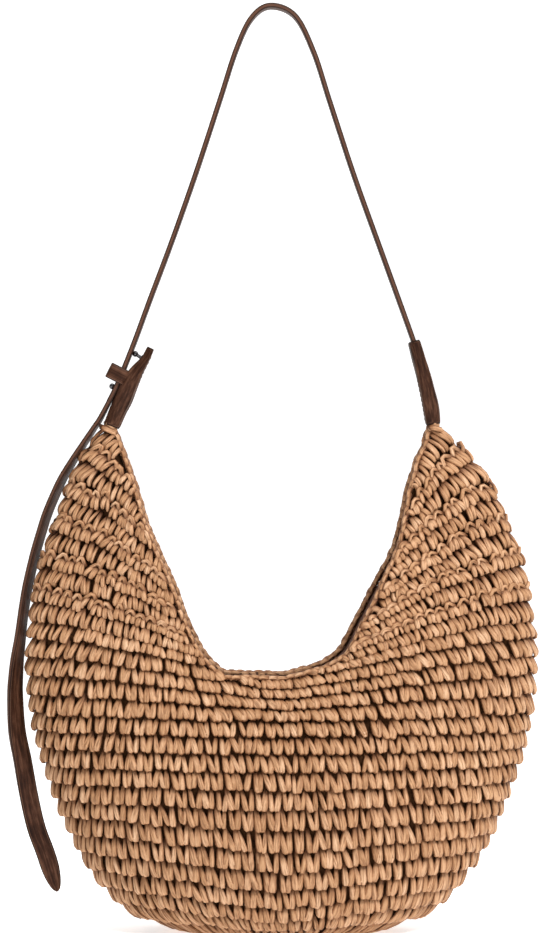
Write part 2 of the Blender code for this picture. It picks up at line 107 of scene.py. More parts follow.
# ---- leather -------------------------------------------------------------------------------------------
STRAP_WIDTH = 0.015
STRAP_THICKNESS = 0.0036
STRAP_ROUTE = [
    (0.1096, 0.4620), (0.1061, 0.4730), (0.0950, 0.5040), (0.0780, 0.5510), (0.0590, 0.6040),
    (0.0400, 0.6620), (0.0270, 0.7020), (0.0120, 0.7310), (-0.0080, 0.7390), (-0.0230, 0.7290),
    (-0.0350, 0.7040), (-0.0480, 0.6640), (-0.0670, 0.6060), (-0.0860, 0.5520), (-0.1040, 0.5040),
    (-0.1150, 0.4740), (-0.1246, 0.4495), (-0.1311, 0.4339), (-0.1366, 0.4228),
]
TAIL_ROUTE = [
    (-0.1366, 0.4228),
    (-0.1376, 0.4208), (-0.1440, 0.4085), (-0.1476, 0.4030), (-0.1564, 0.3896), (-0.1656, 0.3752),
    (-0.1740, 0.3608), (-0.1806, 0.3464), (-0.1865, 0.3320), (-0.1910, 0.3176), (-0.1952, 0.3032),
    (-0.1988, 0.2888), (-0.2020, 0.2744), (-0.2044, 0.2600), (-0.2064, 0.2456), (-0.2082, 0.2312),
    (-0.2102, 0.2168), (-0.2114, 0.2024), (-0.2119, 0.1880), (-0.2105, 0.1600), (-0.2060, 0.1360),
    (-0.2010, 0.1080), (-0.1950, 0.0820), (-0.1870, 0.0600), (-0.1780, 0.0310),
]
# How far the tail is turned about its own length, in radians, at shares of its length.
TAIL_TURN = [
    (0.00, 0.00), (0.10, 0.14), (0.22, 0.30), (0.46, 0.33), (0.57, 0.64), (0.70, 1.02), (0.84, 1.40),
    (1.00, 1.52),
]
TAIL_POINT = 0.026  # length of its tapered end
TAIL_TIP = 0.10  # the share of the width left at its very end
TAIL_THINNING = 0.92  # of the strap's thickness
# Each tab's stations from the top: middle (x, z), half-width across, half-depth along Y.
LEFT_TAB = [
    (-0.1033, 0.4655, 0.0026, 0.0080), (-0.1075, 0.4570, 0.0030, 0.0080),
    (-0.1152, 0.4460, 0.0052, 0.0080), (-0.1212, 0.4350, 0.0066, 0.0078),
    (-0.1255, 0.4245, 0.0069, 0.0070), (-0.1300, 0.4150, 0.0066, 0.0062), (-0.1349, 0.4030, 0.0062, 0.0056),
]
RIGHT_TAB = [
    (0.1069, 0.4710, 0.0042, 0.0098), (0.1098, 0.4610, 0.0046, 0.0098),
    (0.1139, 0.4472, 0.0051, 0.0090), (0.1172, 0.4340, 0.0056, 0.0078),
    (0.1199, 0.4220, 0.0060, 0.0068), (0.1213, 0.4140, 0.0060, 0.0062), (0.1224, 0.4045, 0.0056, 0.0056),
]
TAB_WALL = 0.0019
KEEPER_PLACE = (-0.1300, 0, 0.4448)
KEEPER_TILT = radians(27)

# ---- lining ----------------------------------------------------------------------------------------------
LINING_OUTSIDE = 0.0085  # from the body's outer face
LINING_EASE = 0.0008
LINING_THICKNESS = 0.0009
LINING_FOLD = 0.0007
LINING_DROP = 0.0090  # from the mouth's edge to the lining's
LINING_TOP = 0.352
LINING_BOTTOM = 0.0105
HEM_REACH = 0.0105
HEM_LINE = 0.0052  # from the mouth's edge to the hem's
POCKET_SPAN = (radians(-66), radians(-114))
POCKET_HEIGHTS = (0.055, 0.150)


# ---- curves and surfaces -----------------------------------------------------------------------------
def smooth(knots, at):
    """A monotone cubic through (x, y) knots, read at one or many x."""
    x, y = np.array(knots, float).T
    step = np.diff(x)
    rise = np.diff(y) / step
    slope = np.zeros_like(x)
    slope[0], slope[-1] = rise[0], rise[-1]
    for i in range(1, len(x) - 1):
        if rise[i - 1] * rise[i] > 0:
            slope[i] = 2 * rise[i - 1] * rise[i] / (rise[i - 1] + rise[i])
    at = np.clip(at, x[0], x[-1])
    i = np.clip(np.searchsorted(x, at, side="right") - 1, 0, len(step) - 1)
    t = (at - x[i]) / step[i]
    start = (1 + 2 * t) * (1 - t) ** 2 * y[i] + t * (1 - t) ** 2 * step[i] * slope[i]
    return start + t * t * (3 - 2 * t) * y[i + 1] + t * t * (t - 1) * step[i] * slope[i + 1]


def even(points, count):
    """Evenly spaced points on a Catmull-Rom curve through a route."""
    p = np.array(points, float)
    p = np.vstack([2 * p[0] - p[1], p, 2 * p[-1] - p[-2]])
    fine = []
    for a, b, c, d in zip(p, p[1:], p[2:], p[3:], strict=False):
        for t in np.linspace(0, 1, 24, endpoint=False):
            fine.append(0.5 * (2 * b + (c - a) * t + (2 * a - 5 * b + 4 * c - d) * t**2
                               + (3 * b - a - 3 * c + d) * t**3))
    fine = np.array(fine + [p[-2]])
    run = np.concatenate([[0], np.cumsum(np.linalg.norm(np.diff(fine, axis=0), axis=1))])
    at = np.linspace(0, run[-1], count)
    return np.column_stack([np.interp(at, run, fine[:, k]) for k in range(fine.shape[1])])


def unit(v):
    return v / np.maximum(np.linalg.norm(v, axis=-1, keepdims=True), 1e-12)


def mouth_height(angle, inset=0.0):
    """Height of the mouth's edge at an angle round the bag, or of a line that runs inset below it."""
    share = np.cos(angle)
    along = np.abs(share) - inset / USUAL_HALF_WIDTH
    front = np.where((np.sin(angle) > 0) & (share > 0), np.interp(along, *np.array(FRONT_RIM_SHIFT).T), 0)
    along = np.clip(along - front, 0, 1)
    edge = np.where(share < 0, smooth(MOUTH_LEFT, along), smooth(MOUTH_RIGHT, along))
    return edge - LINE_DROP * inset


def half_width(angle, z):
    """Half-width of the front outline at a height, on the side that the angle is on."""
    tip = np.where(z > RIGHT_TIP[0][0], smooth(RIGHT_TIP, z), smooth(OUTLINE, z))
    start, stop = SLIMMER_SPAN
    slimmer = (LEFT_SLIMMER * np.clip((z - start) / SLIMMER_FADE, 0, 1)
               * np.clip((stop - z) / SLIMMER_FADE, 0, 1))
    return np.where(np.cos(angle) > 0, tip, smooth(OUTLINE, z) - slimmer)


def face(angle, z):
    """Points of the body's outer face; angle 0 is +X and a quarter turn is the front."""
    x = half_width(angle, z) * np.cos(angle)
    reach, height, spread = PINCH_REACH
    drawn = 1 - PINCH * np.exp(-((x / reach) ** 2) - ((z - height) / spread) ** 2)
    return np.stack([x, -smooth(DEPTH, z) * drawn * np.sin(angle), z + 0 * x], -1)


def face_normal(angle, z):
    turn, rise = 0.004, 0.0006
    round_it = face(angle + turn, z) - face(angle - turn, z)
    up_it = face(angle, z + rise) - face(angle, z - rise)
    return unit(np.cross(up_it, round_it))


def base_face(angle, share):
    """Points of the flat base; share runs from 0 in its middle to 1 at its edge."""
    x = OUTLINE[0][1] * share * np.cos(angle)
    y = -DEPTH[0][1] * share * np.sin(angle)
    return np.stack([x, y, np.full_like(x, BASE_LEVEL)], -1)


# ---- meshes --------------------------------------------------------------------------------------------
def new_object(name, mesh, look):
    mesh.shade_smooth()
    mesh.materials.append(look)
    made = bpy.data.objects.new(name, mesh)
    bpy.context.scene.collection.objects.link(made)
    return made


def mesh_from(name, points, faces):
    """A mesh from arrays of points and of quads or triangles."""
    mesh = bpy.data.meshes.new(name)
    sides = faces.shape[1]
    mesh.vertices.add(len(points))
    mesh.vertices.foreach_set("co", points.astype(np.float32).ravel())
    mesh.loops.add(faces.size)
    mesh.loops.foreach_set("vertex_index", faces.astype(np.int32).ravel())
    mesh.polygons.add(len(faces))
    mesh.polygons.foreach_set("loop_start", np.arange(0, faces.size, sides, dtype=np.int32))
    mesh.update(calc_edges=True)
    return mesh


def attribute(mesh, name, values):
    values = np.asarray(values, np.float32)
    kind = "FLOAT" if values.ndim == 1 else "FLOAT_VECTOR"
    made = mesh.attributes.new(name, kind, "POINT")
    made.data.foreach_set("value" if values.ndim == 1 else "vector", values.ravel())


SECTION = 10  # corners of a ribbon's section
FOLDING = 0.17  # how deep the lengthwise folds of a ribbon are, against its half-width


def ribbons(name, paths, normals, widths, depths, look):
    """Many closed ribbons at once: paths (n, m, 3) with their up directions, widths and depths (n, m)."""
    n, m = widths.shape
    along = unit(np.gradient(paths, axis=1))
    across = unit(np.cross(along, normals))
    up = np.cross(across, along)
    a = np.arange(SECTION) * 2 * pi / SECTION
    fold = 1 + FOLDING * np.cos(5 * a[None, :] + rng.uniform(-0.8, 0.8, (n, 1)))
    wide = np.sign(np.cos(a)) * np.abs(np.cos(a)) ** 0.75 * fold
    deep = np.sign(np.sin(a)) * np.abs(np.sin(a)) ** 0.75 * fold
    points = (paths[:, :, None] + across[:, :, None] * (wide[:, None, :] * widths[..., None] / 2)[..., None]
              + up[:, :, None] * (deep[:, None, :] * depths[..., None] / 2)[..., None])
    points[..., 2] = np.maximum(points[..., 2], 0.0)
    ring = np.arange(SECTION)
    after = (ring + 1) % SECTION
    low = (np.arange(m - 1) * SECTION)[:, None]
    quads = [low + ring, low + SECTION + ring, low + SECTION + after, low + after]
    quads = np.stack(quads, -1).reshape(-1, 4)
    caps = []
    for start, order in ((0, 1), ((m - 1) * SECTION, -1)):
        for i in range(SECTION // 2 - 1):
            caps.append([start + j for j in (i, i + 1, SECTION - 2 - i, SECTION - 1 - i)][::order])
    quads = np.vstack([quads, caps])
    faces = (quads[None] + (np.arange(n) * m * SECTION)[:, None, None]).reshape(-1, 4)
    mesh = mesh_from(name, points.reshape(-1, 3), faces)
    run = np.concatenate([np.zeros((n, 1)), np.cumsum(np.linalg.norm(np.diff(paths, axis=1), axis=2), 1)], 1)
    lane = np.stack(np.broadcast_arrays((wide[:, None, :] * widths[..., None] / 2), run[..., None],
                                        rng.uniform(0, 1, (n, 1, 1))), -1)
    attribute(mesh, "lane", lane.reshape(-1, 3))
    share = np.linspace(0, 1, m)[None, :, None]
    shade = np.stack(np.broadcast_arrays(share, np.abs(wide[:, None, :]), 0.0), -1)
    attribute(mesh, "shade", shade.reshape(-1, 3))
    return new_object(name, mesh, look)


def loft(name, rings, look, cap=True):
    """A skin through rings of the same number of points."""
    rings = np.array(rings, float)
    m, sides = rings.shape[:2]
    ring = np.arange(sides)
    after = (ring + 1) % sides
    low = (np.arange(m - 1) * sides)[:, None]
    quads = np.stack([low + ring, low + after, low + sides + after, low + sides + ring], -1).reshape(-1, 4)
    work = bmesh.new()
    verts = [work.verts.new(p) for p in rings.reshape(-1, 3)]
    for q in quads:
        work.faces.new([verts[i] for i in q])
    if cap:
        work.faces.new(verts[:sides][::-1])
        work.faces.new(verts[-sides:])
    bmesh.ops.recalc_face_normals(work, faces=work.faces)
    mesh = bpy.data.meshes.new(name)
    work.to_mesh(mesh)
    work.free()
    return new_object(name, mesh, look)


def bend_at_tips(made):
    """Bakes the piece's placement into its mesh."""
    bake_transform(made)


# ---- materials -----------------------------------------------------------------------------------------
def nodes_of(name, roughness, metallic=0.0):
    made = bpy.data.materials.new(name)
    made.use_nodes = True
    tree = made.node_tree
    shader = tree.nodes["Principled BSDF"]
    shader.inputs["Roughness"].default_value = roughness
    shader.inputs["Metallic"].default_value = metallic
    return made, tree, shader


def node(tree, kind, **values):
    made = tree.nodes.new(kind)
    for key, value in values.items():
        if hasattr(made, key):
            setattr(made, key, value)
        else:
            made.inputs[key.replace("_", " ")].default_value = value
    return made


def ramp(tree, stops, source):
    made = tree.nodes.new("ShaderNodeValToRGB")
    band = made.color_ramp
    while len(band.elements) < len(stops):
        band.elements.new(0.5)
    for element, (place, colour) in zip(band.elements, stops, strict=True):
        element.position = place
        element.color = (*colour, 1.0)
    tree.links.new(source, made.inputs["Fac"])
    return made.outputs["Color"]


def mix(tree, amount, first, second, blend="MIX"):
    """Mixes two colours; each of the three may be a socket or a value."""
    made = tree.nodes.new("ShaderNodeMix")
    made.data_type = "RGBA"
    made.blend_type = blend
    sockets = [made.inputs["Factor"], made.inputs[6], made.inputs[7]]
    for socket, value in zip(sockets, (amount, first, second), strict=True):
        if isinstance(value, bpy.types.NodeSocket):
            tree.links.new(value, socket)
        else:
            socket.default_value = value if isinstance(value, float) else (*value, 1.0)
    return made.outputs[2]


def maths(tree, operation, first, second=0.0, third=0.0):
    made = tree.nodes.new("ShaderNodeMath")
    made.operation = operation
    for socket, value in zip(made.inputs, (first, second, third), strict=True):
        if isinstance(value, bpy.types.NodeSocket):
            tree.links.new(value, socket)
        else:
            socket.default_value = value
    return made.outputs[0]


def noise(tree, vector, scale, detail=3.0, roughness=0.55):
    made = node(tree, "ShaderNodeTexNoise", Scale=scale, Detail=detail, Roughness=roughness)
    tree.links.new(vector, made.inputs["Vector"])
    return made.outputs["Fac"]


def bump(tree, shader, height, strength, distance):
    made = node(tree, "ShaderNodeBump", Strength=strength, Distance=distance)
    tree.links.new(height, made.inputs["Height"])
    tree.links.new(made.outputs["Normal"], shader.inputs["Normal"])


def within_object(tree):
    """Coordinates that go with the object, in metres."""
    return node(tree, "ShaderNodeTexCoord").outputs["Object"]


def scaled(tree, sources, scales):
    """A vector from three sockets, each times its own scale."""
    place = tree.nodes.new("ShaderNodeCombineXYZ")
    for socket, source, scale in zip(place.inputs, sources, scales, strict=True):
        tree.links.new(maths(tree, "MULTIPLY", source, scale), socket)
    return place.outputs[0]


def parts_of(tree, name):
    """The X, Y and Z of a vector attribute."""
    source = node(tree, "ShaderNodeAttribute", attribute_name=name)
    split = tree.nodes.new("ShaderNodeSeparateXYZ")
    tree.links.new(source.outputs["Vector"], split.inputs[0])
    return tuple(split.outputs)


STRAW_CREASES = (820.0, 95.0, 97.0)  # across and along a ribbon, per metre, and from one ribbon to the next
LEATHER_CREASES = (3.2, 0.07, 1.5)  # across, along and through a strap, in its section's own units
WEAVE_PITCH = 0.0011


def straw_material():
    """Paper ribbon: lengthwise creases, strands that differ in colour, painted shade in folds and at ends and
    sides.
    """
    made, tree, shader = nodes_of("crocheted_straw", 0.62)
    across, along, strand = parts_of(tree, "lane")
    crease = noise(tree, scaled(tree, (across, along, strand), STRAW_CREASES), 1.0, 3.0, 0.6)
    colour = ramp(tree, [(0.0, (0.490, 0.268, 0.135)), (0.35, (0.570, 0.325, 0.173)),
                         (0.75, (0.632, 0.373, 0.212)), (1.0, (0.695, 0.443, 0.272))], strand)
    # painted shade: the colour darkens in the folds of the creases and stays paler on their ridges
    crease_shade = ramp(tree, [(0.34, (0.34, 0.25, 0.17)), (0.47, (0.74, 0.66, 0.58)), (0.60, (1.0, 1.0, 1.0))],
                   crease)
    colour = mix(tree, 0.80, colour, crease_shade, "MULTIPLY")
    run, beside, _ = parts_of(tree, "shade")
    # painted shade: each strand darkens towards its top, where it tucks under the row above, and a little at
    # its tip
    end_shade = ramp(tree, [(0.00, (0.10, 0.05, 0.02)), (0.20, (0.26, 0.15, 0.08)), (0.40, (0.80, 0.74, 0.68)),
                       (0.52, (1.0, 1.0, 1.0)), (0.86, (1.0, 1.0, 1.0)), (0.96, (0.50, 0.38, 0.28)),
                       (1.00, (0.20, 0.11, 0.05))], run)
    # painted shade: each strand darkens towards its sides, where it lies against its neighbours
    sides = ramp(tree, [(0.55, (1.0, 1.0, 1.0)), (0.86, (0.66, 0.54, 0.44)), (1.00, (0.34, 0.22, 0.14))],
                 beside)
    colour = mix(tree, 0.92, colour, end_shade, "MULTIPLY")
    colour = mix(tree, 0.85, colour, sides, "MULTIPLY")
    where = within_object(tree)
    patch = noise(tree, where, 14.0, 2.0)
    colour = mix(tree, patch, mix(tree, 0.35, colour, (0.84, 0.76, 0.68), "MULTIPLY"), colour)
    tree.links.new(colour, shader.inputs["Base Color"])
    shader.inputs["Specular IOR Level"].default_value = 0.34
    bump(tree, shader, crease, 0.9, 0.0011)
    return made


def gap_shade_material():
    """Painted shade: the dark inside of the crochet, seen in the gaps between the stitches."""
    made, tree, shader = nodes_of("straw_gap_shade", 0.9)
    shader.inputs["Specular IOR Level"].default_value = 0.05
    where = within_object(tree)
    grain = noise(tree, where, 260.0, 3.0)
    # painted shade: nearly black brown, for the shade seen through the gaps
    tree.links.new(ramp(tree, [(0.3, (0.016, 0.006, 0.002)), (0.7, (0.060, 0.025, 0.010))], grain),
                   shader.inputs["Base Color"])
    bump(tree, shader, grain, 0.6, 0.001)
    return made


def leather_material():
    """Dark brown leather: grain, painted edges, a paler raw core and pressed lines beside the edges."""
    made, tree, shader = nodes_of("brown_leather", 0.44)
    across, through, along = parts_of(tree, "lane")
    creases = noise(tree, scaled(tree, (across, along, through), LEATHER_CREASES), 1.0, 4.0, 0.6)
    where = within_object(tree)
    grain = node(tree, "ShaderNodeTexVoronoi", Scale=1500.0)
    tree.links.new(where, grain.inputs["Vector"])
    cloud = noise(tree, where, 60.0, 4.0)
    tone = maths(tree, "MULTIPLY_ADD", creases, 0.65, maths(tree, "MULTIPLY", cloud, 0.35))
    colour = ramp(tree, [(0.36, (0.012, 0.004, 0.002)), (0.49, (0.038, 0.014, 0.007)),
                         (0.64, (0.105, 0.046, 0.026))], tone)
    near_edge = maths(tree, "ABSOLUTE", across)
    line = maths(tree, "COMPARE", near_edge, 0.83, 0.035)
    colour = mix(tree, maths(tree, "MULTIPLY", line, 0.6), colour, (0.150, 0.078, 0.050))
    core = maths(tree, "MULTIPLY", maths(tree, "GREATER_THAN", near_edge, 0.955),
                 maths(tree, "LESS_THAN", maths(tree, "ABSOLUTE", through), 0.50))
    colour = mix(tree, maths(tree, "MULTIPLY", core, 0.75), colour, (0.105, 0.048, 0.030))
    rim = maths(tree, "MULTIPLY", maths(tree, "GREATER_THAN", near_edge, 0.90),
                maths(tree, "GREATER_THAN", maths(tree, "ABSOLUTE", through), 0.50))
    colour = mix(tree, maths(tree, "MULTIPLY", rim, 0.8), colour, (0.020, 0.010, 0.007))
    tree.links.new(colour, shader.inputs["Base Color"])
    shader.inputs["Specular IOR Level"].default_value = 0.10
    rough = maths(tree, "MULTIPLY_ADD", cloud, 0.25, 0.34)
    tree.links.new(rough, shader.inputs["Roughness"])
    pores = maths(tree, "MULTIPLY", grain.outputs["Distance"], 0.4)
    height = maths(tree, "MULTIPLY_ADD", creases, 1.4, pores)
    bump(tree, shader, height, 0.5, 0.0006)
    return made


def cloth_material():
    """Plain-woven brown cotton."""
    made, tree, shader = nodes_of("cotton_lining", 0.88)
    where = within_object(tree)
    split = tree.nodes.new("ShaderNodeSeparateXYZ")
    tree.links.new(where, split.inputs[0])
    threads = []
    for way in (split.outputs[0], split.outputs[2]):
        threads.append(maths(tree, "SINE", maths(tree, "MULTIPLY", way, 2 * pi / WEAVE_PITCH)))
    weave = maths(tree, "MULTIPLY", threads[0], threads[1])
    slub = noise(tree, where, 120.0, 3.0)
    colour = ramp(tree, [(0.25, (0.090, 0.036, 0.022)), (0.75, (0.175, 0.080, 0.050))], slub)
    tree.links.new(mix(tree, maths(tree, "MULTIPLY_ADD", weave, 0.18, 0.18), colour, (0.03, 0.012, 0.008)),
                   shader.inputs["Base Color"])
    shader.inputs["Sheen Weight"].default_value = 0.15
    bump(tree, shader, weave, 0.35, 0.0002)
    return made


def thread_material():
    made, tree, shader = nodes_of("waxed_thread", 0.6)
    where = within_object(tree)
    twist = noise(tree, where, 2200.0, 2.0)
    tree.links.new(ramp(tree, [(0.3, (0.050, 0.025, 0.015)), (0.7, (0.150, 0.080, 0.050))], twist),
                   shader.inputs["Base Color"])
    bump(tree, shader, twist, 0.5, 0.0002)
    return made


def gunmetal_material():
    made, tree, shader = nodes_of("gunmetal", 0.25, 1.0)
    where = within_object(tree)
    haze = noise(tree, where, 900.0, 3.0)
    tree.links.new(ramp(tree, [(0.3, (0.070, 0.068, 0.072)), (0.7, (0.150, 0.145, 0.150))], haze),
                   shader.inputs["Base Color"])
    tree.links.new(maths(tree, "MULTIPLY_ADD", haze, 0.22, 0.14), shader.inputs["Roughness"])
    return made


straw = straw_material()
straw_gap_shade = gap_shade_material()
leather = leather_material()
cloth = cloth_material()
thread = thread_material()
gunmetal = gunmetal_material()


# ---- crochet -------------------------------------------------------------------------------------------
def row_edges():
    """(side height, middle height) of every row's lower edge, with the rows in the horns added."""
    edges = list(ROW_EDGES)
    for _ in range(FLAT_ROWS):
        side, middle = edges[-1]
        edges.append((side + FLAT_PITCH, middle + FLAT_PITCH * (1 - FLAT_SAG)))
    return edges


EDGES = row_edges()
LAST_ROUND_ROW = len(ROW_EDGES) - 1


def edge_height(row, angle):
    """Height of a row's lower edge round the bag; its lowest stretch, in the middle, is eased round."""
    side, middle = EDGES[row]
    ease = 0.12
    share = (np.sqrt(np.cos(angle) ** 2 + ease**2) - ease) / ((1 + ease**2) ** 0.5 - ease)
    return side - (side - middle) * (1 - np.clip(share, 0, 1)) ** 1.6


# Each strand of a stitch, from its top: along the row (in stitch widths), up the row (in row heights), out
# of the surface (millimetres), width and depth (as shares of a leg's).
LEG = np.array([
    (0.37, 1.04, -5.4, 0.55, 0.80), (0.35, 0.86, -4.0, 0.70, 0.95), (0.31, 0.64, -2.3, 0.90, 1.00),
    (0.26, 0.42, -0.7, 1.05, 1.00), (0.22, 0.20, 0.6, 1.13, 1.05), (0.18, 0.02, 1.4, 1.18, 1.05),
    (0.14, -0.13, 1.2, 1.02, 0.90), (0.12, -0.20, -0.6, 0.66, 0.70),
])
HORN_LEG = np.array([
    (0.36, 1.02, -4.2, 0.60, 0.80), (0.34, 0.84, -2.6, 0.76, 0.95), (0.30, 0.62, -0.9, 0.88, 1.00),
    (0.26, 0.38, 0.4, 0.96, 1.00), (0.22, 0.16, 1.0, 1.00, 1.05), (0.19, -0.04, 0.9, 0.98, 1.00),
    (0.17, -0.20, -0.2, 0.84, 0.85), (0.15, -0.28, -2.2, 0.60, 0.60),
])
SPLAYED = np.array([
    (0.12, 0.66, -2.6, 0.66, 0.85), (0.14, 0.53, -1.0, 0.86, 1.00), (0.17, 0.40, 0.3, 1.00, 1.10),
    (0.20, 0.26, 1.2, 1.06, 1.12), (0.24, 0.11, 1.6, 1.08, 1.12), (0.27, -0.04, 1.5, 1.04, 1.05),
    (0.28, -0.15, 0.8, 0.90, 0.90), (0.28, -0.20, -0.8, 0.62, 0.65),
])
BOW = np.array([
    (0.50 * sin(a), 0.36 + 0.40 * cos(a) ** 3, -1.5 + 3.6 * cos(a), 0.74, 0.95)
    for a in np.linspace(radians(-96), radians(96), 8)
])
LEG_WIDTH = 0.0045
LEG_DEPTH = 0.0027
# How far the tops of the front's stitches lean, by how far out they are.
LEAN = [(-1.0, -0.32), (-0.8, -0.25), (-0.4, 0.02), (0.0, 0.16), (0.3, 0.34), (0.65, 0.46), (1.0, 0.40)]
BACK_LEAN = 0.28
CROWDED_LEAN = 0.26
CROWDED_PLUMPNESS = 0.16
CROWDED_FROM = 0.150
CROWDED_FADE = 0.030
LOOSE_FROM = 0.26  # the height above which the stitches are more irregular
LOOSENESS = 0.9
STITCH_ROOM = 0.28  # the share of a row's height that a stitch needs below the mouth's edge
STITCH_CAP = 0.0036  # from the mouth's edge to the highest that a stitch reaches


def crowded(angle, z):
    """1 where the rows crowd together under the middle of the mouth: their stitches are short and plump."""
    return np.clip((z - CROWDED_FROM) / CROWDED_FADE, 0, 1) * np.clip(1.2 - np.abs(np.cos(angle)) * 1.6, 0, 1)


def lean_at(angle, z):
    """How far the top of a stitch leans along its row, in stitch widths."""
    front = np.interp(np.cos(angle), *np.array(LEAN).T)
    return np.where(np.sin(angle) > 0, front + CROWDED_LEAN * crowded(angle, z), BACK_LEAN)


def worked(surface, normal, edges, kind, phase, cap=None, fineness=1.0):
    """The strands of one row of stitches round the bag.

    surface and normal take (angle, level); edges gives the level of the row's lower and upper edge, and
    cap gives the level that no strand passes.  Returns paths, up directions, widths, depths and angles.
    """
    angle = np.linspace(0, 2 * pi, 1441)
    low, high = edges(angle)
    line = surface(angle, (low + high) / 2)
    run = np.concatenate([[0], np.cumsum(np.linalg.norm(np.diff(line, axis=0), axis=1))])
    count = max(int(round(run[-1] / (STITCH * fineness))), 6)
    step = run[-1] / count
    middle = (np.arange(count) + phase) * step + rng.normal(0, 0.035 * step, count)
    at = np.interp(middle % run[-1], run, angle)
    loose = 1.0 + LOOSENESS * (np.interp(at, angle, line[:, 2]) > LOOSE_FROM)
    lean = lean_at(at, np.interp(at, angle, low)) + rng.normal(0, 0.12, count) * loose
    tall = rng.normal(0, 0.045, count) * loose
    plump = 1 + CROWDED_PLUMPNESS * crowded(at, np.interp(at, angle, low))[:, None]
    sets = []
    for strand, side in kind:
        jitter = rng.normal(0, 1, (count, 4))
        along = (strand[:, 0] * side * (1 + 0.15 * jitter[:, :1]) + 0.05 * jitter[:, 1:2]
                 + lean[:, None] * strand[:, 1] * (strand[:, 1] > -0.2))
        up = strand[:, 1] + tall[:, None] + 0.025 * jitter[:, 2:3]
        out = strand[:, 2] * 0.001 + 0.00035 * jitter[:, 3:4]
        turn = np.interp((middle[:, None] + along * step) % run[-1], run, angle)
        lower, upper = edges(turn)
        level = lower + up * (upper - lower)
        keep = np.ones(count, bool)
        if cap is not None:
            room = cap(turn)
            keep = (lower + STITCH_ROOM * (upper - lower))[:, 3] < room[:, 3]
            level = np.minimum(level, room)
        points = surface(turn, level)
        way = normal(turn, level)
        points = points + way * out[..., None]
        size = (1 + 0.13 * rng.normal(0, 1, (count, 1))) * fineness**0.6 * plump
        sets.append((points[keep], way[keep], (LEG_WIDTH * strand[:, 3] * size)[keep],
                     (LEG_DEPTH * strand[:, 4] * (1 + 0.06 * jitter[:, :1]))[keep], at[keep]))
    return [np.concatenate(part) for part in zip(*sets, strict=True)]


V_STITCH = ((LEG, -1), (LEG, 1))
HORN_STITCH = ((HORN_LEG, -1), (HORN_LEG, 1))
BOW_STITCH = ((SPLAYED, -1), (SPLAYED, 1), (BOW, 1))


def rim_cap(angle):
    return mouth_height(angle, STITCH_CAP)


def body_row(row):
    kind, fineness = V_STITCH, 1.0
    if row > LAST_ROUND_ROW:
        kind, fineness = (BOW_STITCH if row % 2 else HORN_STITCH), HORN_FINENESS
    return worked(face, face_normal, lambda a: (edge_height(row, a), edge_height(row + 1, a)), kind,
                  0.5 * row + 0.3, rim_cap, fineness)


def base_round(ring, rings):
    """One round of the flat base, worked outwards."""
    def edges(angle):
        inner = (ring + 0.1) / rings + 0 * angle
        return inner + 1.0 / rings, inner
    down = np.array([0.0, 0.0, -1.0])
    return worked(base_face, lambda angle, level: np.broadcast_to(down, (*np.shape(angle), 3)), edges,
                  V_STITCH, 0.4 * ring)


def joined(rows):
    return [np.concatenate(part) for part in zip(*rows, strict=True)]


def straw_piece(name, rows, where=None):
    """Rows of stitches as one piece, or those whose share of the half-width passes a test."""
    paths, normals, widths, depths, at = joined(rows)
    if where is not None:
        chosen = where(np.cos(at))
        paths, normals, widths, depths = paths[chosen], normals[chosen], widths[chosen], depths[chosen]
    made = ribbons(name, paths, normals, widths, depths, straw)
    return made


BASE_ROUNDS = 3
HORNS_FROM = 16  # the rows below it go round the bag in these bands, and the others are parted in two horns
BANDS = {"straw_low": (0, 5), "straw_middle": (5, 11), "straw_high": (11, HORNS_FROM)}


def crochet_body():
    rounds = [base_round(ring, BASE_ROUNDS) for ring in range(BASE_ROUNDS)]
    base = straw_piece("straw_base", rounds + [body_row(0)])
    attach(base, "bag")
    rows = [body_row(row) for row in range(1, len(EDGES) - 1)]
    for name, (start, stop) in BANDS.items():
        band = straw_piece(name, rows[start:stop])
        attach(band, "bag")
        if name == "straw_middle":
            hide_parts("straw_body")
    for name, side in (("straw_left_horn", -1), ("straw_right_horn", 1)):
        horn = straw_piece(name, rows[HORNS_FROM:], lambda share, side=side: share * side > 0)
        bend_at_tips(horn)


# Each slip stitch of the rim: along the rim, up out of it and towards the outside, in millimetres.
SLIP = np.array([
    (-5.2, -1.6, -0.6), (-3.8, -0.6, 0.7), (-2.0, 0.3, 1.5), (0.0, 0.8, 1.9),
    (2.0, 0.8, 1.7), (3.7, 0.3, 1.1), (4.9, -0.5, 0.1), (5.6, -1.5, -0.8),
])
SLIP_PITCH = 0.0072
SLIP_WIDTH = 0.0034
SLIP_DEPTH = 0.0025
SLIP_TAPER = np.array([0.5, 0.85, 1, 1, 1, 1, 0.85, 0.5])
SLIP_LINE = 0.0030  # from the mouth's edge to the line that the stitches follow
SLIP_INSET = 0.0026  # from the body's outer face to that line


